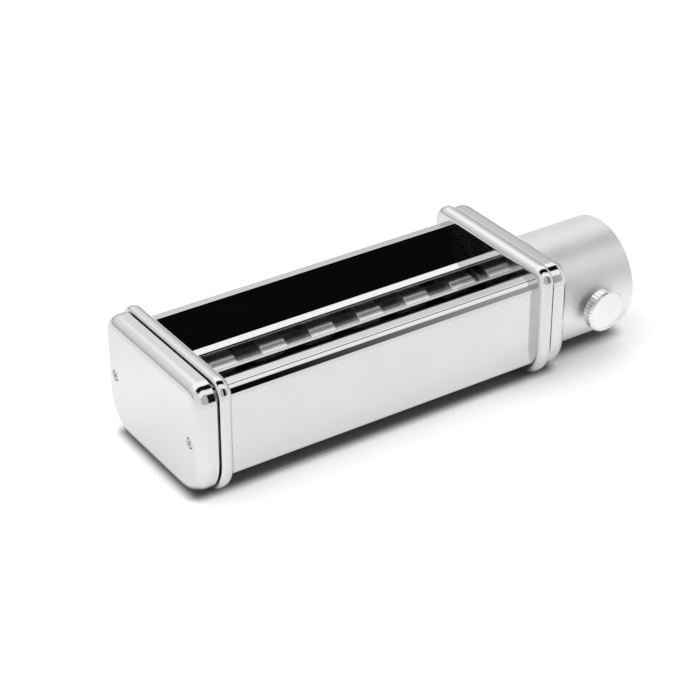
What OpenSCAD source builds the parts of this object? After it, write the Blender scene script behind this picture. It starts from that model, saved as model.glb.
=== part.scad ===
// Pasta cutter attachment: two interleaved cutting rollers under a hopper, driven through a
// side sleeve that clamps onto a mixer's drive stub. Millimetres, +Z up, the hopper opens
// upwards and the drive sleeve points along +X. The origin is under the middle of the
// whole machine, on the surface that it stands on.

/* [Housing] */
// Width between the two end frames
work_width = 150; // [120:1:180]
// Depth of the sheet housing, front to back
body_depth = 67.8; // [62:0.1:69]
// Height of the crown along the top edges of the sheet housing
body_top = 49.2; // [46:0.1:49.5]
// Height of the bottom edge of the front and rear panels
panel_bottom = 8; // [6:0.1:8.2]
// Thickness of the sheet metal
sheet = 1.2; // [0.8:0.1:1.4]
// Outside bend radius along the top edges
top_bend_r = 5; // [2:0.1:5.5]
// Outside bend radius along the bottom edges
bottom_bend_r = 2; // [1.5:0.1:3]
// How far the bottom of each panel turns inwards
bottom_return = 12; // [6:0.5:14]

/* [Hopper] */
// Width of the narrow ledge between the crown and the hopper's slope
ledge_w = 0.8; // [0.5:0.1:4]
// Slope of that ledge, down towards the hopper
ledge_slope = 12; // [4:1:18]
// Distance from the middle plane to the inner side of the flat strip along the front lip
front_lip_y = 6.9; // [6.7:0.1:9]
// Distance from the middle plane to the inner side of the flat strip along the rear lip
rear_lip_y = 7.5; // [6.7:0.1:9]
// Height of the inner side of those strips
lip_z = 39.5; // [38.5:0.1:41]
// Width of the flat strip along each lip
lip_strip = 2.8; // [2:0.1:5]
// Slope of the flat strip along each lip
lip_slope = 16; // [10:1:24]
// Angle through which the edge of each lip curls down
lip_curl = 25; // [10:1:40]
// Outside radius of that curl
lip_curl_r = 3; // [2:0.1:4]

/* [End frames and caps] */
// Thickness of an end frame
frame_t = 6.3; // [5:0.1:8]
// Depth of an end frame, front to back
frame_depth = 78.4; // [76:0.1:82]
// Height of an end frame
frame_h = 54.8; // [52:0.1:58]
// Corner radius at the top of an end frame
frame_top_r = 7.5; // [5:0.1:10]
// Corner radius at the bottom of an end frame
frame_bottom_r = 16.5; // [12:0.1:20]
// Rounding along the rim of an end frame, on the side of its cap
frame_edge_r = 2; // [0.5:0.1:2.5]
// Rounding along the rim of an end frame, on the side of the hopper
frame_inner_edge_r = 3.5; // [0.5:0.1:3.6]
// Dark gap between the left end frame and its cap
cap_gap = 1; // [0.5:0.1:1.5]
// Gap between the right end frame and its cap
right_cap_gap = 0.2; // [0.1:0.1:1.5]
// Distance from the outside of an end frame to the outside of its cap
cap_reach = 9.3; // [9:0.1:12]
// How far the outline of a cap lies inside the outline of its frame
cap_inset = 0.9; // [0.5:0.1:2]
// Rounding along the outer rim of a cap
cap_edge_r = 5.2; // [2:0.1:6]
// Wall thickness of a cap
cap_wall = 1.9; // [1.5:0.1:2.2]
// Distance of the cap screws from the middle plane
cap_screw_y = 29.9; // [28:0.1:31]
// Height of the left cap's screws
cap_screw_z = 27.3; // [24:0.1:30]
// Heights of the right cap's screws
right_screw_z = [21, 32];

/* [Cutting rollers] */
// Height of the roller axes
axis_z = 26.5; // [26:0.1:27]
// Distance between the roller axes
axis_gap = 17.2; // [17:0.1:17.4]
// Radius of the cutting discs
disc_r = 9.1; // [9:0.05:9.15]
// Radius of the grooves between the discs
groove_r = 6.8; // [6.5:0.05:6.9]
// Width of a cut strip
strip_w = 12; // [12:0.5:12]
// Number of strips cut at a time
strips = 12; // [12:2:12]
// Side clearance between a disc and the disc beside it on the other roller
disc_side_gap = 0.1; // [0.05:0.01:0.2]
// How far the cutting pattern sits to the left of the middle of the housing
pattern_shift = 0.8; // [0:0.1:1.5]
// Radius of the journals at the roller ends
journal_r = 5; // [4.5:0.1:5]
// Radial running clearance of a journal in its bush
running_gap = 0.04; // [0.03:0.01:0.08]
// Outer radius of a bush
bush_r = 7; // [6.5:0.1:7.5]
// Radius and thickness of the collar of a bush
bush_collar = [8.2, 0.8];

/* [Gears] */
// Teeth on each gear
gear_teeth = 16; // [14:1:18]
// Face width of the gears
gear_w = 4.2; // [3:0.1:4.4]
// Backlash between the gears
backlash = 0.2; // [0.1:0.05:0.3]
// Pressure angle
pressure_angle = 20; // [20:0.5:25]

/* [Drive sleeve] */
// Outer radius of the sleeve
sleeve_r = 25; // [24:0.1:26]
// Radius of the socket in the sleeve
socket_r = 21.5; // [20:0.1:22]
// Depth of the socket
socket_depth = 27.5; // [24:0.5:28]
// Length of the sleeve outside the cap
sleeve_len = 39.9; // [38:0.1:42]
// Radius of the sleeve's hub, which passes through the cap
hub_r = 15; // [14.5:0.1:15.5]
// Radius of the circle of the sleeve screws
sleeve_screw_circle = 11.8; // [11.5:0.1:12]
// Outer radius of the drive coupling
coupling_r = 8; // [7.5:0.1:8]
// Width across the flats of the hexagonal drive recess
drive_hex = 9; // [8:0.1:10]
// Depth of the hexagonal drive recess
drive_hex_depth = 9; // [7:0.5:10]

/* [Thumb screw] */
// Distance of the screw's axis from the cap
thumb_x = 19.3; // [16:0.1:24]
// Distance of the head's face from the middle plane
thumb_face = 40.6; // [39.2:0.1:42]
// Radius of the knurled head
thumb_head_r = 9.5; // [8:0.1:10]
// Thickness of the knurled head
thumb_head_t = 4.9; // [4:0.1:4.9]
// Number of knurls round the head
knurls = 36; // [24:1:48]
// Radius of the threaded shank
thumb_shank_r = 3; // [2.5:0.1:3.5]

/* [Hidden] */

$fn = 64;
half_w = work_width / 2;
half_d = body_depth / 2;
half_frame = frame_depth / 2;
frame_x = half_w + frame_t;
cap_x = frame_x + cap_reach;
sleeve_x = cap_x + sleeve_len;
socket_floor_x = sleeve_x - socket_depth;
axis_y = axis_gap / 2;
// The whole length runs from the left cap to the end of the sleeve, and the whole depth from the
// thumb screw's head to the rear of the end frames
middle_x = (sleeve_x - cap_x) / 2;
middle_y = (half_frame - thumb_face) / 2;

chrome = [0.80, 0.81, 0.83];
satin = [0.86, 0.87, 0.88];
matte_aluminium = [0.74, 0.75, 0.76];
roller_steel = [0.70, 0.71, 0.72];
dark_steel = [0.36, 0.37, 0.39];
bush_steel = [0.52, 0.52, 0.53];
comb_steel = [0.62, 0.64, 0.66];
nylon = [0.92, 0.91, 0.87];

cut = 0.5;                         // how far a cutting shape runs past the face that it cuts
fit = 0.05;                        // radial gap of a fixed pin or screw in its hole
rod_r = 2.3;                       // tie rods
rod_end_r = 2;                     // their threaded ends
rod_end_len = 3.6;                 // length of an end outside its frame
rod_top = [24, 38.5];              // distance from the middle plane, height
rod_bottom = [24, 12.2];
nut_flats = 7;
nut_h = 3.2;
cap_screw_r = 1.5;
cap_head_r = 2.1;
cap_head_h = 1.3;
cap_head_sink = 0.15;              // how far a cap screw's head lies below the cap's face
cap_boss_r = 3.4;
screw_grip = 4.5;                  // how deep the cap screws reach into the frame
sleeve_screw_r = 2;
sleeve_head_r = 3.4;
sleeve_head_h = 3.6;
comb_t = 2;
comb_top = 16.6;                   // height of the top of a stripper comb
comb_gap = 0.35;                   // gap between a comb finger and the roller
comb_side_gap = 0.4;
comb_tab = [3, 8];                 // length and width of the tabs at a comb's ends
clip_t = 0.9;
clip_r = 6.6;
clip_neck_r = 4.2;
key = [2, 2];                      // width and height of a gear key
gear_x = frame_x + 0.4;            // inner face of the gears
clip_x = gear_x + gear_w + 0.1;
shaft_end_x = clip_x + clip_t + 0.7;
coupling_x = frame_x + 0.7;        // inner face of the drive coupling
coupling_end_x = socket_floor_x - 0.6;
coupling_shaft_x = coupling_end_x - drive_hex_depth - 1;
pin_x = (coupling_x + coupling_shaft_x) / 2;
pin_r = 1.5;
thumb_face_y = -thumb_face;
thumb_back_y = thumb_face_y + thumb_head_t;
socket_y = -axis_y - socket_r;     // front of the socket, where the thumb screw reaches it
thumb_tip_y = socket_y - 0.15;
pad_r = 1.8;
pad_len = 1.4;
thumb_bush_r = 4.4;
module_size = axis_gap / gear_teeth;
pitch_r = axis_gap / 2;

// --- outlines ---------------------------------------------------------------------------

function unit(v) = v / norm(v);
function right_of(v) = [v[1], -v[0]];
function arc(c, r, from, to, steps = 8) =
    [for (i = [0:steps]) c + r * [cos(from + (to - from) * i / steps), sin(from + (to - from) * i / steps)]];

// A line moved to its right by a distance, with mitred corners
function beside(line, distance) =
    [for (i = [0:len(line) - 1])
        let (a = unit(line[max(i, 1)] - line[max(i, 1) - 1]),
             b = unit(line[min(i + 1, len(line) - 1)] - line[min(i + 1, len(line) - 1) - 1]),
             na = right_of(a),
             nb = right_of(b))
        line[i] + distance * (na + nb) / (1 + na * nb)];
function reversed(list) = [for (i = [len(list) - 1:-1:0]) list[i]];
function strip_outline(line, thickness) = concat(line, reversed(beside(line, thickness)));

// Outline of an end frame or cap in (y, z), made smaller all round by inset
function end_outline(inset) =
    let (w = half_frame - inset,
         rt = frame_top_r - inset / 2,
         rb = frame_bottom_r - inset / 2)
    concat(
        arc([w - rb, inset + rb], rb, -90, 0),
        arc([w - rt, frame_h - inset - rt], rt, 0, 90),
        arc([-w + rt, frame_h - inset - rt], rt, 90, 180),
        arc([-w + rb, inset + rb], rb, 180, 270));

// Outside line of a panel in (y, z), for a panel on the +y side: round the curled edge of the
// lip, along its flat strip, up the hopper's slope and the ledge, over the crown, down the outside
// and inwards along the bottom
function panel_line(lip_y) =
    let (lip = [lip_y, lip_z],
         bend = lip + lip_strip * [cos(lip_slope), sin(lip_slope)],
         crown = [half_d - top_bend_r, body_top - top_bend_r],
         ledge_start = crown + top_bend_r * [-sin(ledge_slope), cos(ledge_slope)],
         fold = ledge_start - ledge_w * [cos(ledge_slope), sin(ledge_slope)])
    concat(
        arc(lip - lip_curl_r * [-sin(lip_slope), cos(lip_slope)], lip_curl_r,
            90 + lip_slope + lip_curl, 90 + lip_slope, 4),
        [bend, fold],
        arc(crown, top_bend_r, 90 + ledge_slope, 0),
        arc([half_d - bottom_bend_r, panel_bottom + bottom_bend_r], bottom_bend_r, 0, -90),
        [[half_d - bottom_return, panel_bottom]]);

// --- shared shapes ----------------------------------------------------------------------

// Extrude an outline in (y, z) along +x from x to x + length
module along_x(x, length) translate([x, 0, 0]) rotate([90, 0, 90]) linear_extrude(height = length) children();
// A cylinder along +x whose axis is at (y, z)
module rod_x(x, length, r, y = 0, z = 0) translate([x, y, z]) rotate([0, 90, 0]) cylinder(h = length, r = r);
// A cylinder along +y whose axis is at (x, z)
module rod_y(y, length, r, x = 0, z = 0) translate([x, y, z]) rotate([-90, 0, 0]) cylinder(h = length, r = r);
module on_left() mirror([1, 0, 0]) children();

// Slab with the outline of an end frame, from x to x + t, its rim rounded by inner_edge on the
// side that faces the hopper and by outer_edge on the other side
module rounded_end(x, t, inset, outer_edge, inner_edge) {
    w = half_frame - inset;
    rt = frame_top_r + inset;
    rb = frame_bottom_r + inset;
    corners = [[w - rt, frame_h - inset - rt, rt], [w - rb, inset + rb, rb]];
    steps = 5;
    slice = 0.02;                    // thickness of the discs that the slab is stretched over
    hull()
        for (side = [-1, 1], c = corners, i = [0:steps])
            let (a = 90 * i / steps) {
                rod_x(x + inner_edge * (1 - sin(a)), slice, c[2] - inner_edge * (1 - cos(a)),
                    side * c[0], c[1], $fn = 32);
                rod_x(x + t - outer_edge * (1 - sin(a)) - slice, slice, c[2] - outer_edge * (1 - cos(a)),
                    side * c[0], c[1], $fn = 32);
            }
}

// --- sheet housing ----------------------------------------------------------------------

module panel(lip_y) along_x(-half_w, work_width) polygon(strip_outline(panel_line(lip_y), sheet));

module front_panel() color(chrome) mirror([0, 1, 0]) panel(front_lip_y);
module rear_panel() color(chrome) panel(rear_lip_y);

// --- end frames -------------------------------------------------------------------------

module tie_rod_places() for (side = [-1, 1], p = [rod_top, rod_bottom])
    translate([0, side * p[0], p[1]]) children();

// Frame on the right side, with holes for the bushes, tie rods, comb tabs and cap screws
module end_frame(screw_places) difference() {
    rounded_end(half_w, frame_t, 0, frame_edge_r, frame_inner_edge_r);
    for (side = [-1, 1]) {
        rod_x(half_w - cut, frame_t + 2 * cut, bush_r + fit, side * axis_y, axis_z);
        translate([half_w - cut, side * (half_d - 6) - comb_tab[1] / 2 - fit, comb_top - comb_t - fit])
            cube([comb_tab[0] + cut + 0.2, comb_tab[1] + 2 * fit, comb_t + 2 * fit]);
    }
    tie_rod_places() rod_x(half_w - cut, frame_t + 2 * cut, rod_end_r + fit);
    for (p = screw_places) rod_x(frame_x - screw_grip - 0.3, screw_grip + cut, cap_screw_r + fit, p[0], p[1]);
}

left_screws = [[-cap_screw_y, cap_screw_z], [cap_screw_y, cap_screw_z]];
right_screws = [for (z = right_screw_z) [cap_screw_y, z]];

module left_end_frame() color(satin) on_left() end_frame(left_screws);
module right_end_frame() color(satin) difference() {
    end_frame(right_screws);
    sleeve_screw_places() rod_x(half_w + 1, frame_t, sleeve_screw_r + fit);
}

// --- end caps ---------------------------------------------------------------------------

// Hollow cap on the right side. A spigot inside its rim touches the frame, so that the rim
// itself stands off by gap.
module end_cap(screw_places, gap) difference() {
    spigot_inset = cap_inset + 3.5;
    union() {
        difference() {
            union() {
                rounded_end(frame_x + gap, cap_reach - gap, cap_inset, cap_edge_r, 0);
                along_x(frame_x, gap + cut) polygon(end_outline(spigot_inset));
            }
            along_x(frame_x - cut, cap_reach - cap_wall + cut) polygon(end_outline(spigot_inset + cap_wall));
        }
        for (p = screw_places) rod_x(frame_x, cap_reach - cut, cap_boss_r, p[0], p[1]);
    }
    for (p = screw_places) {
        rod_x(frame_x - cut, cap_reach + 2 * cut, cap_screw_r + 0.15, p[0], p[1]);
        rod_x(cap_x - cap_head_h - cap_head_sink, cap_head_h + cut, cap_head_r + 0.2, p[0], p[1]);
    }
}

module left_end_cap() color(satin) on_left() end_cap(left_screws, cap_gap);
module right_end_cap() color(satin) difference() {
    end_cap(right_screws, right_cap_gap);
    rod_x(frame_x - cut, cap_reach + 2 * cut, hub_r + 0.15, -axis_y, axis_z);
}

// Pan-head screw with a cross recess, on the right side
module cap_screw() difference() {
    head_x = cap_x - cap_head_sink - cap_head_h;
    union() {
        rod_x(frame_x - screw_grip, head_x - frame_x + screw_grip, cap_screw_r);
        rod_x(head_x, cap_head_h, cap_head_r);
    }
    for (turn = [0, 90]) rotate([turn, 0, 0])
        translate([cap_x - cap_head_sink - 0.7, -1.3, -0.25]) cube([1, 2.6, 0.5]);
}

module left_cap_screws() color(dark_steel) on_left()
    for (p = left_screws) translate([0, p[0], p[1]]) cap_screw();
module right_cap_screws() color(dark_steel)
    for (p = right_screws) translate([0, p[0], p[1]]) cap_screw();

// --- tie rods ---------------------------------------------------------------------------

module tie_rods() color(dark_steel) tie_rod_places() {
    rod_x(-half_w, work_width, rod_r);
    rod_x(-frame_x - rod_end_len, 2 * (frame_x + rod_end_len), rod_end_r);
}

module tie_rod_nuts() color(dark_steel)
    for (side = [0, 1]) mirror([side, 0, 0]) tie_rod_places()
        difference() {
            rod_x(frame_x, nut_h, nut_flats / 2 / cos(30), $fn = 6);
            rod_x(frame_x - cut, nut_h + 2 * cut, rod_end_r + fit);
        }

// --- cutting rollers --------------------------------------------------------------------

pattern_start = -strips * strip_w / 2 - pattern_shift;
body_end = half_w - bush_collar[1] - 0.2;

// Roller body with every second strip standing as a disc, starting at strip number first
module cutting_roller(first, right_end_x) difference() {
    union() {
        rod_x(-body_end, 2 * body_end, groove_r);
        for (i = [first:2:strips - 1])
            rod_x(pattern_start + i * strip_w + disc_side_gap / 2, strip_w - disc_side_gap, disc_r);
        rod_x(-shaft_end_x, shaft_end_x + right_end_x, journal_r);
    }
    // groove for the clip and slot for the gear's key
    difference() {
        rod_x(-clip_x - clip_t - 0.05, clip_t + 0.1, journal_r + cut);
        rod_x(-clip_x - clip_t - cut, clip_t + 2 * cut, clip_neck_r);
    }
    translate([-gear_x - gear_w, -key[0] / 2 - 0.02, journal_r - key[1] / 2 - 0.02])
        cube([gear_w, key[0] + 0.04, key[1]]);
}

module at_front_axis() translate([0, -axis_y, axis_z]) children();
module at_rear_axis() translate([0, axis_y, axis_z]) children();

module front_cutting_roller() color(roller_steel) at_front_axis() difference() {
    cutting_roller(0, coupling_shaft_x);
    translate([pin_x, 0, 0]) rod_y(-journal_r - cut, 2 * (journal_r + cut), pin_r + fit);
}
module rear_cutting_roller() color(roller_steel) at_rear_axis() cutting_roller(1, frame_x - 0.3);

module bush() difference() {
    union() {
        rod_x(half_w - bush_collar[1], bush_collar[1], bush_collar[0]);
        rod_x(half_w - bush_collar[1], frame_t + bush_collar[1], bush_r);
    }
    rod_x(half_w - bush_collar[1] - cut, frame_t + bush_collar[1] + 2 * cut, journal_r + running_gap);
}
module front_left_bush() color(bush_steel) at_front_axis() on_left() bush();
module front_right_bush() color(bush_steel) at_front_axis() bush();
module rear_left_bush() color(bush_steel) at_rear_axis() on_left() bush();
module rear_right_bush() color(bush_steel) at_rear_axis() bush();

// --- gears ------------------------------------------------------------------------------

base_r = pitch_r * cos(pressure_angle);
tip_r = pitch_r + module_size;
root_r = pitch_r - 1.25 * module_size;
function involute(r) = let (a = acos(min(1, base_r / r))) tan(a) * 180 / PI - a;
// Half of a tooth's angle at radius r
function half_tooth(r) =
    90 / gear_teeth - backlash / 4 / pitch_r * 180 / PI + involute(pitch_r) - involute(max(r, base_r));
function at_angle(r, a) = [r * cos(a), r * sin(a)];
flank_steps = 5;
function tooth(middle) =
    let (flank_r = max(base_r, root_r + 0.1),
         rs = [root_r, for (i = [0:flank_steps]) flank_r + (tip_r - flank_r) * i / flank_steps])
    concat([for (r = rs) at_angle(r, middle - half_tooth(r))],
           [for (r = reversed(rs)) at_angle(r, middle + half_tooth(r))]);

// Spur gear on the left side; turn is the angle of its first tooth about the axis
module gear(turn) difference() {
    translate([-gear_x - gear_w, 0, 0]) rotate([90, 0, 90]) linear_extrude(height = gear_w)
        polygon([for (i = [0:gear_teeth - 1]) each tooth(turn + 360 * i / gear_teeth)]);
    rod_x(-gear_x - gear_w - cut, gear_w + 2 * cut, journal_r + 0.02);
    translate([-gear_x - gear_w - cut, -key[0] / 2 - 0.02, 0])
        cube([gear_w + 2 * cut, key[0] + 0.04, journal_r + key[1] / 2 + 0.02]);
}
module gear_key()
    translate([-gear_x - gear_w, -key[0] / 2, journal_r - key[1] / 2]) cube([gear_w, key[0], key[1]]);
module gear_clip() difference() {
    rod_x(-clip_x - clip_t, clip_t, clip_r);
    rod_x(-clip_x - clip_t - cut, clip_t + 2 * cut, clip_neck_r + fit);
    translate([-clip_x - clip_t - cut, -1.5, -clip_r - cut]) cube([clip_t + 2 * cut, 3, clip_r + cut]);
}

// A tooth of the drive gear points at the other gear, where a gap of that gear receives it
module drive_gear() color(dark_steel) at_front_axis() gear(0);
module driven_gear() color(dark_steel) at_rear_axis() gear(180 + 180 / gear_teeth);
module drive_gear_key() color(dark_steel) at_front_axis() gear_key();
module driven_gear_key() color(dark_steel) at_rear_axis() gear_key();
module drive_gear_clip() color(dark_steel) at_front_axis() gear_clip();
module driven_gear_clip() color(dark_steel) at_rear_axis() gear_clip();

// --- stripper combs ---------------------------------------------------------------------

// Plate on the +y side with one finger reaching into each groove of its roller. The grooves
// start at strip number first.
module stripper_comb(first) difference() {
    finger_top = axis_z - groove_r - comb_gap;
    reach = 5;                       // how far a finger reaches past the middle of its roller
    plate_y = axis_y + 5.5;
    union() {
        translate([-half_w + 0.1, plate_y, comb_top - comb_t])
            cube([work_width - 0.2, half_d - sheet - 0.3 - plate_y, comb_t]);
        for (side = [-1, 1])
            translate([side * half_w - comb_tab[0], half_d - 6 - comb_tab[1] / 2, comb_top - comb_t])
                cube([2 * comb_tab[0], comb_tab[1], comb_t]);
        for (i = [first:2:strips - 1]) {
            x = pattern_start + i * strip_w + comb_side_gap;
            w = strip_w - 2 * comb_side_gap;
            translate([x, axis_y - reach, comb_top - comb_t]) cube([w, plate_y - axis_y + reach + 1, comb_t]);
            translate([x, axis_y - reach, comb_top - comb_t])
                cube([w, 2 * reach, finger_top - comb_top + comb_t + 2]);
        }
    }
    rod_x(-half_w - cut, work_width + 2 * cut, groove_r + comb_gap, axis_y, axis_z);
}

module front_stripper_comb() color(comb_steel) mirror([0, 1, 0]) stripper_comb(1);
module rear_stripper_comb() color(comb_steel) stripper_comb(0);

// --- drive sleeve -----------------------------------------------------------------------

module sleeve_screw_places() at_front_axis() for (a = [60, 180, 300])
    translate([0, sleeve_screw_circle * cos(a), sleeve_screw_circle * sin(a)]) children();

sleeve_edge = 0.8;                  // chamfer at the mouth of the sleeve
thumb_axis_x = cap_x + thumb_x;

module drive_sleeve() color(matte_aluminium) difference() {
    at_front_axis() union() {
        rod_x(cap_x + 0.05, sleeve_len - 0.05, sleeve_r);
        rod_x(frame_x + 0.05, cap_reach + cut, hub_r);
    }
    at_front_axis() {
        rod_x(socket_floor_x, socket_depth + cut, socket_r);
        rod_x(frame_x - cut, sleeve_x, coupling_r + 0.5);
        translate([sleeve_x - sleeve_edge, 0, 0]) rotate([0, 90, 0])
            cylinder(h = sleeve_edge + 0.01, r1 = socket_r, r2 = socket_r + sleeve_edge);
    }
    sleeve_screw_places() {
        rod_x(frame_x - cut, sleeve_x, sleeve_screw_r + 0.2);
        rod_x(socket_floor_x - sleeve_head_h - 0.3, sleeve_x, sleeve_head_r + 0.2);
    }
    rod_y(thumb_face_y, half_frame - axis_y - 10, thumb_bush_r, thumb_axis_x, axis_z);
}

module sleeve_screws() color(dark_steel) sleeve_screw_places() difference() {
    union() {
        rod_x(half_w + 1.5, socket_floor_x - 0.3 - half_w - 1.5 - sleeve_head_h / 2, sleeve_screw_r);
        rod_x(socket_floor_x - 0.3 - sleeve_head_h, sleeve_head_h, sleeve_head_r);
    }
    rod_x(socket_floor_x - 2.3, 3, 1.9, $fn = 6);
}

// Steel bush in the sleeve's wall, tapped for the thumb screw. Both of its ends follow the wall.
module thumb_screw_bush() color(bush_steel) difference() {
    intersection() {
        rod_y(thumb_face_y, half_frame - axis_y - 10, thumb_bush_r - 0.02, thumb_axis_x, axis_z);
        at_front_axis() difference() {
            rod_x(cap_x, sleeve_len, sleeve_r - 0.1);
            rod_x(cap_x - cut, sleeve_len + 2 * cut, socket_r + 0.05);
        }
    }
    rod_y(thumb_face_y, half_frame, thumb_shank_r + fit, thumb_axis_x, axis_z);
}

// Steel barrel pinned to the end of the front roller, with a hexagonal recess for the mixer's drive
module drive_coupling() color(dark_steel) at_front_axis() difference() {
    rod_x(coupling_x, coupling_end_x - coupling_x, coupling_r);
    rod_x(coupling_x - cut, coupling_shaft_x - coupling_x + cut + 0.1, journal_r + 0.02);
    rod_x(coupling_end_x - drive_hex_depth, drive_hex_depth + cut, drive_hex / 2 / cos(30), $fn = 6);
    translate([pin_x, 0, 0]) rod_y(-coupling_r - cut, 2 * (coupling_r + cut), pin_r + fit);
}
module coupling_pin() color(comb_steel) at_front_axis() translate([pin_x, 0, 0])
    rod_y(-coupling_r + 0.4, 2 * (coupling_r - 0.4), pin_r);

// --- thumb screw ------------------------------------------------------------------------

// Knurled head and shank. The tip has a recess in which the pad swivels.
module thumb_screw() color(satin) translate([thumb_axis_x, 0, axis_z]) difference() {
    union() {
        rod_y(thumb_face_y + 0.7, thumb_head_t - 1.4, thumb_head_r);
        rod_y(thumb_face_y, thumb_head_t, thumb_head_r - 0.7);
        rod_y(thumb_back_y - cut, thumb_tip_y - 0.3 - thumb_back_y + cut, thumb_shank_r);
    }
    for (i = [0:knurls - 1]) rotate([0, 360 * i / knurls, 0])
        rod_y(thumb_face_y - cut, thumb_head_t + 2 * cut, 0.4, thumb_head_r + 0.1, 0, $fn = 16);
    rod_y(thumb_tip_y - pad_len, pad_len + cut, pad_r + fit);
}
module thumb_screw_pad() color(nylon)
    rod_y(thumb_tip_y - pad_len + 0.05, pad_len - 0.05, pad_r, thumb_axis_x, axis_z);

// --- assembly ---------------------------------------------------------------------------

module place() translate([-middle_x, -middle_y, 0]) children();

place() front_panel();
place() rear_panel();
place() left_end_frame();
place() right_end_frame();
place() left_end_cap();
place() right_end_cap();
place() left_cap_screws();
place() right_cap_screws();
place() tie_rods();
place() tie_rod_nuts();
place() front_stripper_comb();
place() rear_stripper_comb();
place() front_left_bush();
place() front_right_bush();
place() rear_left_bush();
place() rear_right_bush();
place() drive_sleeve();
place() sleeve_screws();
place() thumb_screw_bush();
place() front_cutting_roller();
place() drive_gear();
place() drive_gear_key();
place() drive_gear_clip();
place() drive_coupling();
place() coupling_pin();
place() rear_cutting_roller();
place() driven_gear();
place() driven_gear_key();
place() driven_gear_clip();
place() thumb_screw();
place() thumb_screw_pad();
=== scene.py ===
"""Looks of the pasta cutter attachment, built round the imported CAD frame. Metres, row frame."""
import math

import bmesh
import bpy
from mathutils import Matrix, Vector


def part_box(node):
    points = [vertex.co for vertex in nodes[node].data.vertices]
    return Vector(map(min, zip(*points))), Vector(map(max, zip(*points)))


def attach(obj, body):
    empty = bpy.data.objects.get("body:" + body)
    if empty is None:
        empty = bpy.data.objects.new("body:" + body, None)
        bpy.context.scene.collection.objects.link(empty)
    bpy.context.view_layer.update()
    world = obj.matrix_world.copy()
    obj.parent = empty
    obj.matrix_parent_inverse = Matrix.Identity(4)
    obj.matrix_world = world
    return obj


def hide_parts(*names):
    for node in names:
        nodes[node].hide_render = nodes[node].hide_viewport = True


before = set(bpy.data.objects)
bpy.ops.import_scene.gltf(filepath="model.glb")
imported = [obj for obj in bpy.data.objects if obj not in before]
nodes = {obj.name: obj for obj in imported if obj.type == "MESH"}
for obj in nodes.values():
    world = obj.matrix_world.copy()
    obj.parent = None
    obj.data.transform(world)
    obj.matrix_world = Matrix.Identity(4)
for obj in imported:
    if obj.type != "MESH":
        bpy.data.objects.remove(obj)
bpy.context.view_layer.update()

MM = 0.001
# Middle of the sheet housing, and the roller axes, read from the frame
panel_low, panel_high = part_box("front_panel")
MID_X = (panel_low.x + panel_high.x) / 2
MID_Y = (panel_low.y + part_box("rear_panel")[1].y) / 2
HALF_W = (panel_high.x - panel_low.x) / 2 / MM
roller_low, roller_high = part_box("rear_cutting_roller")
AXIS_Z = (roller_low.z + roller_high.z) / 2 / MM
AXIS_Y = ((roller_low.y + roller_high.y) / 2 - MID_Y) / MM

# Sizes in millimetres, as in the CAD source
SHEET = 1.2
HALF_D = 33.9
BODY_TOP = 49.2
PANEL_BOTTOM = 8.0
BOTTOM_BEND = 2.0
BOTTOM_RETURN = 12.0
FRONT_LIP_Y, REAR_LIP_Y, LIP_Z = 6.9, 7.5, 39.5
LIP_STRIP, LIP_SLOPE = 2.8, 16
LIP_CURL, LIP_CURL_R = 25, 3.0
FRAME_T = 6.3
HALF_FRAME = 39.2
FRAME_H = 54.8
FRAME_TOP_R, FRAME_BOTTOM_R = 7.5, 16.5
FRAME_EDGE, FRAME_INNER_EDGE = 2.0, 3.5
LEFT_GAP, RIGHT_GAP, CAP_REACH, CAP_INSET, CAP_EDGE, CAP_WALL = 1.0, 0.2, 9.3, 0.9, 5.2, 1.9
CAP_SCREW_Y, CAP_SCREW_Z = 29.9, 27.3
RIGHT_SCREW_Z = (21.0, 32.0)
DISC_R, GROOVE_R, STRIP_W, STRIPS = 9.1, 6.8, 12.0, 12
DISC_GAP, PATTERN_SHIFT = 0.1, 0.8
JOURNAL_R, BUSH_R, COLLAR_T = 5.0, 7.0, 0.8
ROD_TOP, ROD_BOTTOM, ROD_HOLE_R = (24.0, 38.5), (24.0, 12.2), 2.05
GEAR_W, GEAR_GAP, CLIP_T, CLIP_NECK_R = 4.2, 0.4, 0.9, 4.2
SLEEVE_R, SOCKET_R, SOCKET_DEPTH, SLEEVE_LEN, HUB_R = 25.0, 21.5, 27.5, 39.9, 15.0
SLEEVE_SCREW_CIRCLE, SLEEVE_SCREW_ANGLES = 11.8, (60, 180, 300)
COUPLING_R, DRIVE_HEX_DEPTH = 8.0, 9.0
THUMB_X, THUMB_FACE, THUMB_R, THUMB_T, KNURLS, SHANK_R = 19.3, 40.6, 9.5, 4.9, 36, 3.0
FRAME_X = HALF_W + FRAME_T
CAP_X = FRAME_X + CAP_REACH
SLEEVE_X = CAP_X + SLEEVE_LEN
FLOOR_X = SLEEVE_X - SOCKET_DEPTH
THUMB_AXIS_X = CAP_X + THUMB_X
LEFT_SCREWS = [(-CAP_SCREW_Y, CAP_SCREW_Z), (CAP_SCREW_Y, CAP_SCREW_Z)]
RIGHT_SCREWS = [(CAP_SCREW_Y, z) for z in RIGHT_SCREW_Z]

# The crown of the panels, drawn as a tight bend followed by a wide one, which stays within 0.3 mm
# of the CAD's single bend
WIDE_BEND, TIGHT_BEND = 6.0, 1.5
WIDE_BEND_TOP = BODY_TOP + 0.47
BEND_SPLIT = 54                       # angle above the horizontal where one bend ends and the other begins
LEDGE_W, LEDGE_FALL = 3.5, 4


# --- node helpers -----------------------------------------------------------------------

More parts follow.
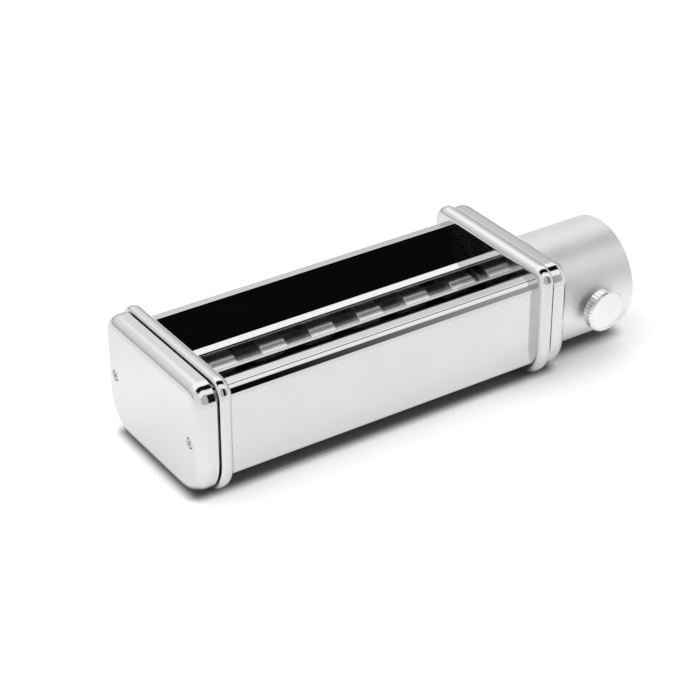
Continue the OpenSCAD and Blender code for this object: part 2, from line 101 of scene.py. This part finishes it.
class Graph:
    """Short names for building a node tree."""

    def __init__(self, tree):
        self.tree = tree
        tree.nodes.clear()

    def node(self, kind, _props=None, **inputs):
        n = self.tree.nodes.new(kind)
        for k, v in (_props or {}).items():
            setattr(n, k, v)
        for k, v in inputs.items():
            self.put(n.inputs[k.replace("_", " ")], v)
        return n

    def put(self, socket, value):
        if isinstance(value, bpy.types.NodeSocket):
            self.tree.links.new(value, socket)
        else:
            socket.default_value = value

    def math(self, op, a, b=0.0):
        n = self.node("ShaderNodeMath", {"operation": op})
        self.put(n.inputs[0], a)
        self.put(n.inputs[1], b)
        return n.outputs[0]

    def both(self, *values):
        """The product: for masks, where all of them are 1."""
        out = values[0]
        for v in values[1:]:
            out = self.math("MULTIPLY", out, v)
        return out

    def but(self, value):
        """What a mask leaves out."""
        return self.math("SUBTRACT", 1.0, value)

    def step(self, value, low, high):
        """0 below low, 1 above high, smooth between."""
        n = self.node("ShaderNodeMapRange", {"interpolation_type": "SMOOTHSTEP"})
        for i, v in enumerate((value, low, high, 0.0, 1.0)):
            self.put(n.inputs[i], v)
        return n.outputs[0]

    def ramp(self, value, low, high, out_low, out_high):
        n = self.node("ShaderNodeMapRange")
        for i, v in enumerate((value, low, high, out_low, out_high)):
            self.put(n.inputs[i], v)
        return n.outputs[0]

    def mix(self, factor, a, b):
        n = self.node("ShaderNodeMix", {"data_type": "RGBA"})
        self.put(n.inputs[0], factor)
        self.put(n.inputs[6], a)
        self.put(n.inputs[7], b)
        return n.outputs[2]


def grey(v, warm=0.0):
    return (v * (1 + warm), v, v * (1 - warm), 1.0)


def surface(name, colour, dark, rough, rough_spread, grain=(900, 900, 900), grain_bump=0.0,
            wave=(6, 6, 6), wave_bump=0.0, turned=None, metallic=1.0):
    """Metal (or plastic) whose colour and roughness vary softly, with a fine grain stretched the
    way the surface was worked, and a faint unevenness of the sheet. turned gives the axis
    (which, a, b) of concentric tool marks."""
    mat = bpy.data.materials.new(name)
    mat.use_nodes = True
    g = Graph(mat.node_tree)
    where = g.node("ShaderNodeTexCoord").outputs["Object"]

    def noise(scale, detail):
        m = g.node("ShaderNodeMapping", Scale=scale)
        g.put(m.inputs["Vector"], where)
        n = g.node("ShaderNodeTexNoise", Scale=1.0, Detail=detail, Roughness=0.5)
        g.put(n.inputs["Vector"], m.outputs[0])
        return n.outputs["Fac"]

    cloud = noise((38, 38, 38), 3.0)
    fine = noise(grain, 2.0)
    if turned:
        axis, a, b = turned
        s = g.node("ShaderNodeSeparateXYZ")
        g.put(s.inputs[0], where)
        u, v = [i for i in range(3) if i != axis]
        du = g.math("SUBTRACT", s.outputs[u], a)
        dv = g.math("SUBTRACT", s.outputs[v], b)
        r = g.math("SQRT", g.math("ADD", g.math("MULTIPLY", du, du), g.math("MULTIPLY", dv, dv)))
        ring = g.node("ShaderNodeTexNoise", {"noise_dimensions": "1D"}, Scale=1.0, Detail=2.0)
        g.put(ring.inputs["W"], g.math("MULTIPLY", r, 3000.0))
        fine = ring.outputs["Fac"]
    shade = g.node("ShaderNodeBsdfPrincipled", Metallic=metallic)
    g.put(shade.inputs["Base Color"], g.mix(g.ramp(cloud, 0.35, 0.65, 0.0, 1.0), dark, colour))
    blend = g.math("ADD", g.math("MULTIPLY", cloud, 0.5), g.math("MULTIPLY", fine, 0.5))
    g.put(shade.inputs["Roughness"],
          g.ramp(blend, 0.35, 0.65, rough - rough_spread, rough + rough_spread))
    normal = None
    for height, strength, distance in ((noise(wave, 1.0), wave_bump, 0.004), (fine, grain_bump, 0.00005)):
        if strength:
            b = g.node("ShaderNodeBump", Strength=strength, Distance=distance)
            g.put(b.inputs["Height"], height)
            if normal:
                g.put(b.inputs["Normal"], normal)
            normal = b.outputs[0]
    if normal:
        g.put(shade.inputs["Normal"], normal)
    out = g.node("ShaderNodeOutputMaterial")
    g.put(out.inputs["Surface"], shade.outputs[0])
    return mat


chrome = surface("polished_chrome", grey(0.655, -0.004), grey(0.64, -0.004), 0.045, 0.015,
                 grain=(60, 1500, 1500), grain_bump=0.02, wave=(9, 14, 14), wave_bump=0.012)
satin = surface("satin_chrome", grey(0.665, -0.004), grey(0.65, -0.004), 0.09, 0.02,
                grain=(1400, 1400, 60), grain_bump=0.015, wave=(12, 12, 12), wave_bump=0.006)
matte = surface("matte_aluminium", grey(0.84, -0.004), grey(0.81, -0.004), 0.5, 0.04,
                grain=(3000, 3000, 3000), grain_bump=0.35)
thumb_metal = surface("bright_steel", grey(0.80), grey(0.77), 0.2, 0.04,
                      grain_bump=0.06, turned=(1, MID_X + THUMB_AXIS_X * MM, AXIS_Z * MM))
roller_metal = surface("roller_steel", grey(0.84), grey(0.81), 0.3, 0.02,
                       grain=(5200, 20, 20), grain_bump=0.1)
gear_metal = surface("gear_steel", grey(0.34, 0.01), grey(0.26, 0.01), 0.34, 0.07,
                     grain=(300, 1500, 1500), grain_bump=0.15)
screw_metal = surface("screw_steel", grey(0.60), grey(0.50), 0.26, 0.06,
                      grain=(1500, 1500, 1500), grain_bump=0.1)
comb_metal = surface("comb_steel", grey(0.58), grey(0.52), 0.32, 0.06,
                     grain=(80, 2200, 2200), grain_bump=0.12)
bush_metal = surface("bush_steel", grey(0.42), grey(0.30), 0.4, 0.08,
                     grain=(2000, 2000, 2000), grain_bump=0.25)
nylon = surface("pad_nylon", (0.86, 0.84, 0.77, 1), (0.80, 0.78, 0.70, 1), 0.5, 0.05,
                grain=(1800, 1800, 1800), grain_bump=0.2, metallic=0.0)


# --- mesh helpers -----------------------------------------------------------------------

def to_row(p, side=1):
    """A machine point in millimetres, mirrored to the left when side is -1, in the row frame."""
    return Vector((MID_X + side * p[0] * MM, MID_Y + p[1] * MM, p[2] * MM))


def make(name, verts, faces):
    mesh = bpy.data.meshes.new(name)
    mesh.from_pydata([tuple(v) for v in verts], [], faces)
    bm = bmesh.new()
    bm.from_mesh(mesh)
    bmesh.ops.remove_doubles(bm, verts=bm.verts, dist=1e-7)
    bmesh.ops.recalc_face_normals(bm, faces=bm.faces)
    bm.to_mesh(mesh)
    bm.free()
    obj = bpy.data.objects.new(name, mesh)
    bpy.context.scene.collection.objects.link(obj)
    return obj


def loft(name, rings, closed=False):
    """Closed surface through rings of equally many points. The first and last rings are filled,
    or joined to each other when closed."""
    n = len(rings[0])
    verts = [p for ring in rings for p in ring]
    faces = []
    pairs = len(rings) if closed else len(rings) - 1
    for i in range(pairs):
        a, b = i * n, ((i + 1) % len(rings)) * n
        faces += [(a + j, a + (j + 1) % n, b + (j + 1) % n, b + j) for j in range(n)]
    if not closed:
        faces += [tuple(range(n)), tuple(range((len(rings) - 1) * n, len(rings) * n))]
    return make(name, verts, faces)


def apply_modifiers(obj):
    bpy.context.view_layer.update()
    mesh = bpy.data.meshes.new_from_object(obj.evaluated_get(bpy.context.evaluated_depsgraph_get()))
    mesh.name = obj.name
    obj.modifiers.clear()
    obj.data = mesh


def boolean(obj, tools, operation="DIFFERENCE"):
    for tool in tools:
        m = obj.modifiers.new("cut", "BOOLEAN")
        m.operation = operation
        m.solver = "EXACT"
        m.object = tool
    apply_modifiers(obj)
    for tool in tools:
        bpy.data.objects.remove(tool)
    return obj


def finish_piece(obj, body, material, slot, *replaced, angle=32):
    """Smooth shading with flat faces kept flat, then material, body and the CAD node it stands for. slot is
    not used.
    """
    mesh = obj.data
    mesh.shade_smooth()
    mesh.set_sharp_from_angle(angle=math.radians(angle))
    mesh.materials.clear()
    mesh.materials.append(material)
    m = obj.modifiers.new("normals", "WEIGHTED_NORMAL")
    m.keep_sharp = True
    m.weight = 60
    apply_modifiers(obj)
    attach(obj, body)
    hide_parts(*replaced)


def arc(cy, cz, r, start, end, steps):
    """Points round (cy, cz) from one angle in degrees to another."""
    angles = [math.radians(start + (end - start) * i / steps) for i in range(steps + 1)]
    return [(cy + r * math.cos(a), cz + r * math.sin(a)) for a in angles]


def lathe(name, profile, axis_y=0.0, axis_z=0.0, side=1, segments=96, along="x", axis_x=0.0):
    """Solid of revolution. profile is a closed loop of (distance along, radius) when it leaves the
    axis free, or an open line that starts and ends on the axis."""
    open_line = profile[0][1] == 0 and profile[-1][1] == 0
    line = profile[1:-1] if open_line else profile
    rings = []
    for t, r in line:
        ring = []
        for i in range(segments):
            a = 2 * math.pi * i / segments
            if along == "x":
                ring.append(to_row((t, axis_y + r * math.cos(a), axis_z + r * math.sin(a)), side))
            else:
                ring.append(to_row((axis_x + r * math.cos(a), t, axis_z + r * math.sin(a)), side))
        rings.append(ring)
    return loft(name, rings, closed=not open_line)


def rod(x0, x1, r, y, z, side=1, segments=48):
    return lathe("tool", [(x0, 0), (x0, r), (x1, r), (x1, 0)], y, z, side, segments)


def rod_y(y0, y1, r, x, z, segments=48):
    return lathe("tool", [(y0, 0), (y0, r), (y1, r), (y1, 0)], 0, z, 1, segments, "y", x)


def rounded(profile, radius_at, steps=4):
    """profile with the corners whose index is in radius_at rounded by that radius."""
    out = []
    for i, p in enumerate(profile):
        r = radius_at.get(i, 0)
        if not r:
            out.append(p)
            continue
        here = Vector(p)
        back = (Vector(profile[i - 1]) - here).normalized()
        on = (Vector(profile[(i + 1) % len(profile)]) - here).normalized()
        half = back.angle(on) / 2
        reach = r / math.tan(half)
        start, end = here + back * reach, here + on * reach
        centre = here + (back + on).normalized() * (r / math.sin(half))
        a, b = start - centre, end - centre
        turn = a.angle(b)
        for k in range(steps + 1):
            t = turn * k / steps
            v = (a * math.sin(turn - t) + b * math.sin(t)) / math.sin(turn)
            out.append(tuple(centre + v))
    return out


# --- sheet panels -----------------------------------------------------------------------

def along(angle, length):
    return Vector((math.cos(math.radians(angle)), math.sin(math.radians(angle)))) * length


def panel(name, lip_y, side):
    """Bent sheet, on the +y side before side turns it to the front: curled lip, flat strip, slope,
    ledge, crown, outside, bottom."""
    lip = Vector((lip_y, LIP_Z))
    wide = Vector((HALF_D - WIDE_BEND, WIDE_BEND_TOP - WIDE_BEND))
    tight = wide + along(BEND_SPLIT, WIDE_BEND - TIGHT_BEND)
    edge = tight + along(90 - LEDGE_FALL, TIGHT_BEND)
    curl = lip - along(90 + LIP_SLOPE, LIP_CURL_R)
    fold = edge - along(-LEDGE_FALL, LEDGE_W)
    strip_end = lip + along(LIP_SLOPE, LIP_STRIP)
    folds = rounded([tuple(lip), tuple(strip_end), tuple(fold), tuple(edge)], {1: 0.9, 2: 0.6}, steps=5)
    line = arc(*curl, LIP_CURL_R, 90 + LIP_SLOPE + LIP_CURL, 90 + LIP_SLOPE, 6)
    line += folds[1:-1]
    line += arc(*tight, TIGHT_BEND, 90 - LEDGE_FALL, BEND_SPLIT, 6)
    line += arc(*wide, WIDE_BEND, BEND_SPLIT, 0, 10)[1:]
    line += arc(HALF_D - BOTTOM_BEND, PANEL_BOTTOM + BOTTOM_BEND, BOTTOM_BEND, 0, -90, 12)
    line += [(HALF_D - BOTTOM_RETURN, PANEL_BOTTOM)]
    inner = []
    for i, p in enumerate(line):
        a, b = Vector(line[max(i - 1, 0)]), Vector(line[min(i + 1, len(line) - 1)])
        here = Vector(p)
        da = (here - a).normalized() if i else (b - here).normalized()
        db = (b - here).normalized() if i < len(line) - 1 else da
        na, nb = Vector((da.y, -da.x)), Vector((db.y, -db.x))
        inner.append(here + (na + nb) * (SHEET / (1 + na.dot(nb))))
    hem = 0.25
    outline = line + [tuple(p) for p in reversed(inner)]
    n = len(line)
    loop = rounded(outline, {0: hem, n - 1: hem, n: hem, 2 * n - 1: hem}, steps=3)
    sections = [[to_row((x, side * p[0], p[1])) for p in loop] for x in (-HALF_W, HALF_W)]
    return loft(name, sections)


for label, lip_y, side in (("front", FRONT_LIP_Y, -1), ("rear", REAR_LIP_Y, 1)):
    finish_piece(panel(f"{label}_panel_sheet", lip_y, side), "root", chrome, "polished_chrome",
                 f"{label}_panel")


# --- end frames and caps ----------------------------------------------------------------

def end_ring(x, inset, side, w=HALF_FRAME, low=0.0, high=FRAME_H, rt=FRAME_TOP_R, rb=FRAME_BOTTOM_R):
    """Outline of a frame or cap across x, moved inwards by inset."""
    yz = []
    for y, z, r, start in ((w - rb, low + rb, rb, -90), (w - rt, high - rt, rt, 0),
                           (-w + rt, high - rt, rt, 90), (-w + rb, low + rb, rb, 180)):
        yz += arc(y, z, r - inset, start, start + 90, 22)
    return [to_row((x, y, z), side) for y, z in yz]


def edge_steps(radius, steps=12):
    """(how far from the face, how far inside the outline) from the face round to the side."""
    return [(radius * (1 - math.cos(a)), radius * (1 - math.sin(a)))
            for a in (math.pi / 2 * i / steps for i in range(steps + 1))]


def sleeve_screw_places():
    return [(-AXIS_Y + SLEEVE_SCREW_CIRCLE * math.cos(math.radians(a)),
             AXIS_Z + SLEEVE_SCREW_CIRCLE * math.sin(math.radians(a))) for a in SLEEVE_SCREW_ANGLES]


def end_frame(name, side, screws, sleeve_holes):
    rings = [end_ring(HALF_W + d, i, side) for d, i in edge_steps(FRAME_INNER_EDGE)]
    rings += [end_ring(FRAME_X - d, i, side) for d, i in reversed(edge_steps(FRAME_EDGE))]
    obj = loft(name, rings)
    tools = []
    for s in (-1, 1):
        tools.append(rod(HALF_W - 1, FRAME_X + 1, BUSH_R + 0.05, s * AXIS_Y, AXIS_Z, side))
        for y, z in (ROD_TOP, ROD_BOTTOM):
            tools.append(rod(HALF_W - 1, FRAME_X + 1, ROD_HOLE_R, s * y, z, side, 32))
    screw_depth, screw_hole_r, sleeve_screw_r = 4.8, 1.55, 2.05
    tools += [rod(FRAME_X - screw_depth, FRAME_X + 1, screw_hole_r, y, z, side, 32) for y, z in screws]
    if sleeve_holes:
        tools += [rod(HALF_W + 1, FRAME_X + 1, sleeve_screw_r, y, z, side, 32)
                  for y, z in sleeve_screw_places()]
    return boolean(obj, tools)


def end_cap(name, side, screws, hub_hole):
    gap = RIGHT_GAP if side > 0 else LEFT_GAP
    w, low, high = HALF_FRAME - CAP_INSET, CAP_INSET, FRAME_H - CAP_INSET
    rt, rb = FRAME_TOP_R + CAP_INSET, FRAME_BOTTOM_R + CAP_INSET

    def ring(x, inset):
        return end_ring(x, inset, side, w, low, high, rt, rb)
    spigot, boss_r, screw_hole_r = 3.5, 3.4, 1.65
    rings = [ring(CAP_X - CAP_WALL, spigot + CAP_WALL), ring(FRAME_X, spigot + CAP_WALL),
             ring(FRAME_X, spigot), ring(FRAME_X + gap, spigot)]
    rings += [ring(FRAME_X + gap + d, i) for d, i in edge_steps(0.3, 4)]
    rings += [ring(CAP_X - d, i) for d, i in reversed(edge_steps(CAP_EDGE, 16))]
    obj = loft(name, rings)
    boolean(obj, [rod(FRAME_X + 0.02, CAP_X - 1, boss_r, y, z, side, 40) for y, z in screws], "UNION")
    tools = [rod(FRAME_X - 1, CAP_X + 1, screw_hole_r, y, z, side, 40) for y, z in screws]
    sink = [(CAP_X - 1.45, 0), (CAP_X - 1.45, 2.3), (CAP_X - 0.25, 2.3), (CAP_X + 0.05, 2.6),
            (CAP_X + 0.05, 0)]
    tools += [lathe("tool", sink, y, z, side, 48) for y, z in screws]
    if hub_hole:
        tools.append(rod(FRAME_X - 1, CAP_X + 1, HUB_R + 0.15, -AXIS_Y, AXIS_Z, side, 96))
    return boolean(obj, tools)


for label, side, screws in (("left", -1, LEFT_SCREWS), ("right", 1, RIGHT_SCREWS)):
    finish_piece(end_frame(f"{label}_frame_plate", side, screws, side > 0), "root", satin, "satin_chrome",
                 f"{label}_end_frame")
    finish_piece(end_cap(f"{label}_cap_shell", side, screws, side > 0), "root", satin, "satin_chrome",
                 f"{label}_end_cap")


def cap_screw(side, y, z):
    """Pan head with a cross recess, and its shank."""
    head = CAP_X - 0.15
    shank_r, head_r, crown_t = 1.5, 2.1, 0.45
    line = [(FRAME_X - 4.5, 0), (FRAME_X - 4.5, 1.2), (FRAME_X - 4.2, shank_r), (head - 1.3, shank_r),
            (head - 1.3, head_r), (head - crown_t, head_r)]
    for a in (math.radians(t) for t in (20, 40, 60, 80)):
        line.append((head - crown_t * (1 - math.sin(a)), head_r - 0.5 * (1 - math.cos(a))))
    line += [(head, 1.1), (head, 0)]
    cross = []
    for turn in (0.35, 0.35 + math.pi / 2):
        c, s = math.cos(turn), math.sin(turn)
        rings = []
        for x, length, width in ((head - 0.75, 0.75, 0.16), (head + 0.2, 1.3, 0.28)):
            corners = ((-length, -width), (length, -width), (length, width), (-length, width))
            rings.append([to_row((x, y + u * c - v * s, z + u * s + v * c), side) for u, v in corners])
        cross.append(loft("tool", rings))
    return boolean(lathe("screw", line, y, z, side, 48), cross)


def join(name, objects):
    """One object from several meshes."""
    bm = bmesh.new()
    for o in objects:
        bm.from_mesh(o.data)
    mesh = bpy.data.meshes.new(name)
    bm.to_mesh(mesh)
    bm.free()
    for o in objects:
        bpy.data.objects.remove(o)
    obj = bpy.data.objects.new(name, mesh)
    bpy.context.scene.collection.objects.link(obj)
    return obj


for label, side, screws in (("left", -1, LEFT_SCREWS), ("right", 1, RIGHT_SCREWS)):
    finish_piece(join(f"{label}_cap_cross_screws", [cap_screw(side, y, z) for y, z in screws]), "root",
                 screw_metal, "screw_steel", f"{label}_cap_screws")


# --- cutting rollers --------------------------------------------------------------------

def roller(name, first, y, right_end):
    """Turned roller: every second strip stands up as a disc with a small chamfer on both rims."""
    body_end = HALF_W - COLLAR_T - 0.2
    clip_x = FRAME_X + GEAR_GAP + GEAR_W + 0.1
    shaft_end = clip_x + CLIP_T + 0.7
    clip_groove_end = clip_x + CLIP_T + 0.05
    chamfer = 0.12
    line = [(-shaft_end, 0), (-shaft_end, JOURNAL_R - 0.4), (-shaft_end + 0.4, JOURNAL_R),
            (-clip_groove_end, JOURNAL_R), (-clip_groove_end, CLIP_NECK_R), (-clip_x + 0.05, CLIP_NECK_R),
            (-clip_x + 0.05, JOURNAL_R),
            (-body_end, JOURNAL_R), (-body_end, GROOVE_R - 0.2), (-body_end + 0.2, GROOVE_R)]
    start = -STRIPS * STRIP_W / 2 - PATTERN_SHIFT
    for i in range(first, STRIPS, 2):
        a = start + i * STRIP_W + DISC_GAP / 2
        b = a + STRIP_W - DISC_GAP
        line += [(a, GROOVE_R), (a, DISC_R - chamfer), (a + chamfer, DISC_R), (b - chamfer, DISC_R),
                 (b, DISC_R - chamfer), (b, GROOVE_R)]
    line += [(body_end - 0.2, GROOVE_R), (body_end, GROOVE_R - 0.2), (body_end, JOURNAL_R),
             (right_end - 0.4, JOURNAL_R), (right_end, JOURNAL_R - 0.4), (right_end, 0)]
    return lathe(name, line, y, AXIS_Z, 1, 128)


COUPLING_END = FLOOR_X - 0.6
for label, first, y, right_end in (("front", 0, -AXIS_Y, COUPLING_END - DRIVE_HEX_DEPTH - 1),
                                   ("rear", 1, AXIS_Y, FRAME_X - 0.3)):
    finish_piece(roller(f"{label}_roller_turned", first, y, right_end), f"{label}_roller", roller_metal,
                 "roller_steel", f"{label}_cutting_roller")


# --- drive sleeve -----------------------------------------------------------------------

def sleeve():
    """Hub in the cap, sleeve with a socket, sunk holes for its screws and a hole for the thumb screw."""
    x0, x1 = CAP_X + 0.05, SLEEVE_X
    bore_r, mouth = COUPLING_R + 0.5, 0.8
    hole_r, sink_r, sink_depth, thumb_hole_r = 2.2, 3.6, 3.9, 4.4
    line = rounded([(FRAME_X + 0.05, bore_r), (FRAME_X + 0.05, HUB_R), (x0, HUB_R), (x0, SLEEVE_R),
                    (x1, SLEEVE_R), (x1, SOCKET_R + mouth), (x1 - mouth, SOCKET_R), (FLOOR_X, SOCKET_R),
                    (FLOOR_X, bore_r)], {3: 0.4, 4: 0.8, 7: 0.5}, steps=5)
    obj = lathe("drive_sleeve_turned", line, -AXIS_Y, AXIS_Z, 1, 160)
    tools = [rod_y(-THUMB_FACE, -20, thumb_hole_r, THUMB_AXIS_X, AXIS_Z, 64)]
    for y, z in sleeve_screw_places():
        tools.append(rod(FRAME_X - 1, FLOOR_X + 1, hole_r, y, z, 1, 40))
        tools.append(rod(FLOOR_X - sink_depth, FLOOR_X + 1, sink_r, y, z, 1, 48))
    return boolean(obj, tools)


finish_piece(sleeve(), "root", matte, "matte_aluminium", "drive_sleeve")


# --- thumb screw ------------------------------------------------------------------------

def round_thumb_axis(y, r, a):
    return to_row((THUMB_AXIS_X + r * math.cos(a), y, AXIS_Z + r * math.sin(a)))


def knurled_head(face, back):
    tooth = [(0.0, -0.55), (0.16, 0.0), (0.84, 0.0)]     # share of a knurl's pitch, height above the rim
    rings = []
    # Each ring: place, radius, share of the knurl's depth; a dished face, a bevel, the rim, a bevel
    for y, r, knurl in ((face + 0.12, 7.6, 0), (face, 7.8, 0), (face, 8.5, 0), (face + 0.25, 8.75, 0.05),
                        (face + 0.75, THUMB_R, 1), (back - 0.75, THUMB_R, 1), (back - 0.25, 8.75, 0.05),
                        (back, 8.5, 0), (back, 5.0, 0)):
        rings.append([round_thumb_axis(y, r + height * knurl, 2 * math.pi * (k + share) / KNURLS)
                      for k in range(KNURLS) for share, height in tooth])
    return loft("head", rings)


def threaded_shank(back, tip):
    pitch, sunk = 1.0, 0.3
    per_turn, rows = 48, 16
    length = tip - back + sunk
    count = int(length / pitch * rows)
    rings = []
    for i in range(count + 1):
        y = back - sunk + length * i / count
        fade = min(1.0, (length - length * i / count) / 0.5)
        rings.append([])
        for k in range(per_turn):
            phase = ((y - back) / pitch - k / per_turn) % 1.0
            depth = 0.5 * abs(2 * phase - 1)
            r = SHANK_R - 0.02 - depth * 0.95 - 0.5 * (1 - fade)
            rings[-1].append(round_thumb_axis(y, r, 2 * math.pi * k / per_turn))
    pocket = rod_y(tip - 1.25, tip + 1, 1.85, THUMB_AXIS_X, AXIS_Z, 40)
    return boolean(loft("shank", rings), [pocket])


def thumb_screw():
    """Knurled head with a bevelled rim, and a threaded shank with a pocket for the pad."""
    face, back = -THUMB_FACE, -THUMB_FACE + THUMB_T
    tip = -AXIS_Y - SOCKET_R - 0.45
    return join("thumb_screw_knurled", [knurled_head(face, back), threaded_shank(back, tip)])


finish_piece(thumb_screw(), "thumb_screw", thumb_metal, "bright_steel", "thumb_screw", angle=28)


# --- finishes of the CAD nodes that stay -----------------------------------------------

def paint(material, *names):
    for n in names:
        o = nodes[n]
        o.data.materials.clear()
        o.data.materials.append(material)
        for p in o.data.polygons:
            p.material_index = 0


paint(gear_metal, "drive_gear", "driven_gear", "drive_gear_key", "driven_gear_key", "drive_coupling")
paint(screw_metal, "drive_gear_clip", "driven_gear_clip", "coupling_pin", "tie_rods", "tie_rod_nuts",
      "sleeve_screws")
paint(comb_metal, "front_stripper_comb", "rear_stripper_comb")
paint(bush_metal, "front_left_bush", "front_right_bush", "rear_left_bush", "rear_right_bush",
      "thumb_screw_bush")
paint(nylon, "thumb_screw_pad")


# --- studio -----------------------------------------------------------------------------

def floor():
    """Pale surface. Close to the machine it glows faintly, which keeps the machine's shadow short, and
    right under the machine its colour is darkened as a painted shadow."""
    size = 3.0
    corners = [(-size, -size, 0), (size, -size, 0), (size, size, 0), (-size, size, 0)]
    obj = make("studio_floor", corners, [(0, 1, 2, 3)])
    mat = bpy.data.materials.new("studio_floor")
    mat.use_nodes = True
    g = Graph(mat.node_tree)
    shade = g.node("ShaderNodeBsdfPrincipled", Roughness=0.7)
    shade.inputs["Specular IOR Level"].default_value = 0.1
    shade.inputs["Emission Color"].default_value = (1, 1, 1, 1)
    split = g.node("ShaderNodeSeparateXYZ")
    g.put(split.inputs[0], g.node("ShaderNodeTexCoord").outputs["Object"])

    def distance_from(x, y, half_x, half_y):
        """Distance in metres from an upright box whose middle and half sizes are in millimetres."""
        sides = []
        for socket, middle, half in ((split.outputs[0], MID_X + x * MM, half_x),
                                     (split.outputs[1], MID_Y + y * MM, half_y)):
            side = g.math("SUBTRACT", g.math("ABSOLUTE", g.math("SUBTRACT", socket, middle)), half * MM)
            side = g.math("MAXIMUM", side, 0.0)
            sides.append(g.math("MULTIPLY", side, side))
        return g.math("SQRT", g.math("ADD", *sides))
    housing = distance_from(0, 0, 86, 27)
    sleeve_side = distance_from(CAP_X + 20, -AXIS_Y, 18, 10)
    glow = g.both(g.step(housing, 0.0, 0.008), g.step(sleeve_side, 0.004, 0.05),
                  g.but(g.step(housing, 0.03, 0.12)))
    g.put(shade.inputs["Emission Strength"], g.math("MULTIPLY", glow, 0.2))
    # Painted shadow: the floor's colour darkens right under the housing and the sleeve
    painted_shadow_under = g.but(g.both(g.step(housing, 0.001, 0.008), g.step(sleeve_side, 0.0, 0.010)))
    g.put(shade.inputs["Base Color"], g.mix(painted_shadow_under, grey(0.93), grey(0.16)))
    out = g.node("ShaderNodeOutputMaterial")
    g.put(out.inputs["Surface"], shade.outputs[0])
    obj.data.materials.append(mat)


def mirrored_level(g, dx, dy, dz):
    """Brightness of what polished metal mirrors in direction (dx, dy, dz)."""
    # A soft box behind and above, brighter higher up, dimmer low at the right, with a dark horizon
    high = g.step(dz, 0.58, 0.70)
    box_light = g.math("ADD", g.ramp(dz, 0.1, 0.5, 0.70, 1.02), g.math("MULTIPLY", high, 0.35))
    right = g.both(g.step(dx, 0.42, 0.60), g.but(high))
    seam = g.both(g.but(g.step(g.math("ABSOLUTE", dz), 0.012, 0.04)), g.step(dy, 0.1, 0.3))
    box_light = g.both(box_light, g.ramp(right, 0, 1, 1.0, 0.78), g.but(g.math("MULTIPLY", seam, 0.85)))
    # In front of it a dark ceiling, then a bright cove over a pale wall with a dark doorway
    overhead = g.step(dy, -0.31, -0.24)
    ceiling = g.both(overhead, g.step(dz, 0.66, 0.72))
    cove = g.both(g.step(dy, -0.68, -0.60), g.but(overhead), g.step(dz, 0.45, 0.55))
    doorway = g.both(g.step(dx, 0.27, 0.33), g.but(g.step(dx, 0.44, 0.60)))
    wall = g.math("MULTIPLY", g.both(g.but(ceiling), g.but(doorway)), 0.62)
    room = g.ramp(cove, 0, 1, g.math("ADD", wall, 0.004), 1.25)
    # The room is open to white at both sides
    closed = g.both(g.step(dx, -0.75, -0.6), g.but(g.step(dx, 0.74, 0.82)))
    room = g.ramp(closed, 0, 1, 1.0, room)
    front = g.but(g.step(dy, 0.13, 0.2))
    return g.ramp(front, 0, 1, box_light, room)


def studio_world():
    """Plain white to the camera, a room to polished metal, and a soft tent to matte surfaces."""
    world = bpy.data.worlds.new("studio")
    bpy.context.scene.world = world
    world.use_nodes = True
    g = Graph(world.node_tree)
    split = g.node("ShaderNodeSeparateXYZ")
    g.put(split.inputs[0], g.node("ShaderNodeTexCoord").outputs["Generated"])
    dx, dy, dz = split.outputs

    level = mirrored_level(g, dx, dy, dz)
    level_colour = g.node("ShaderNodeCombineColor")
    for i in range(3):
        g.put(level_colour.inputs[i], level)
    mirrored = g.node("ShaderNodeBackground", Strength=1.0)
    g.put(mirrored.inputs["Color"], level_colour.outputs[0])

    # The tent is bright high up, and lower down behind and to the left
    behind = g.step(g.math("SUBTRACT", g.math("MULTIPLY", dy, 0.8), g.math("MULTIPLY", dx, 0.6)), -0.2, 0.4)
    shadow_side = g.both(g.but(g.step(dz, 0.25, 0.55)), g.but(behind))
    tent = g.node("ShaderNodeBackground", Strength=1.3)
    g.put(tent.inputs["Color"], g.mix(shadow_side, grey(1.0), grey(0.03)))

    plain = g.node("ShaderNodeBackground", Color=grey(1.0), Strength=1.0)
    path = g.node("ShaderNodeLightPath")
    shown = mirrored.outputs[0]
    for ray, background in (("Is Diffuse Ray", tent), ("Is Camera Ray", plain)):
        pick = g.node("ShaderNodeMixShader")
        g.put(pick.inputs[0], path.outputs[ray])
        g.put(pick.inputs[1], shown)
        g.put(pick.inputs[2], background.outputs[0])
        shown = pick.outputs[0]
    out = g.node("ShaderNodeOutputWorld")
    g.put(out.inputs["Surface"], shown)


floor()
studio_world()

scene = bpy.context.scene
scene.view_settings.view_transform = "Standard"

camera_data = bpy.data.cameras.new("camera")
camera_data.lens = 110.03
camera_data.sensor_width = 36.0
camera = bpy.data.objects.new("camera", camera_data)
scene.collection.objects.link(camera)
camera.location = Vector((-0.4385, -0.6279, 0.4811))
target = Vector((-0.01835, -0.00009, 0.02625))
camera.rotation_euler = (target - camera.location).to_track_quat("-Z", "Y").to_euler()
scene.camera = camera
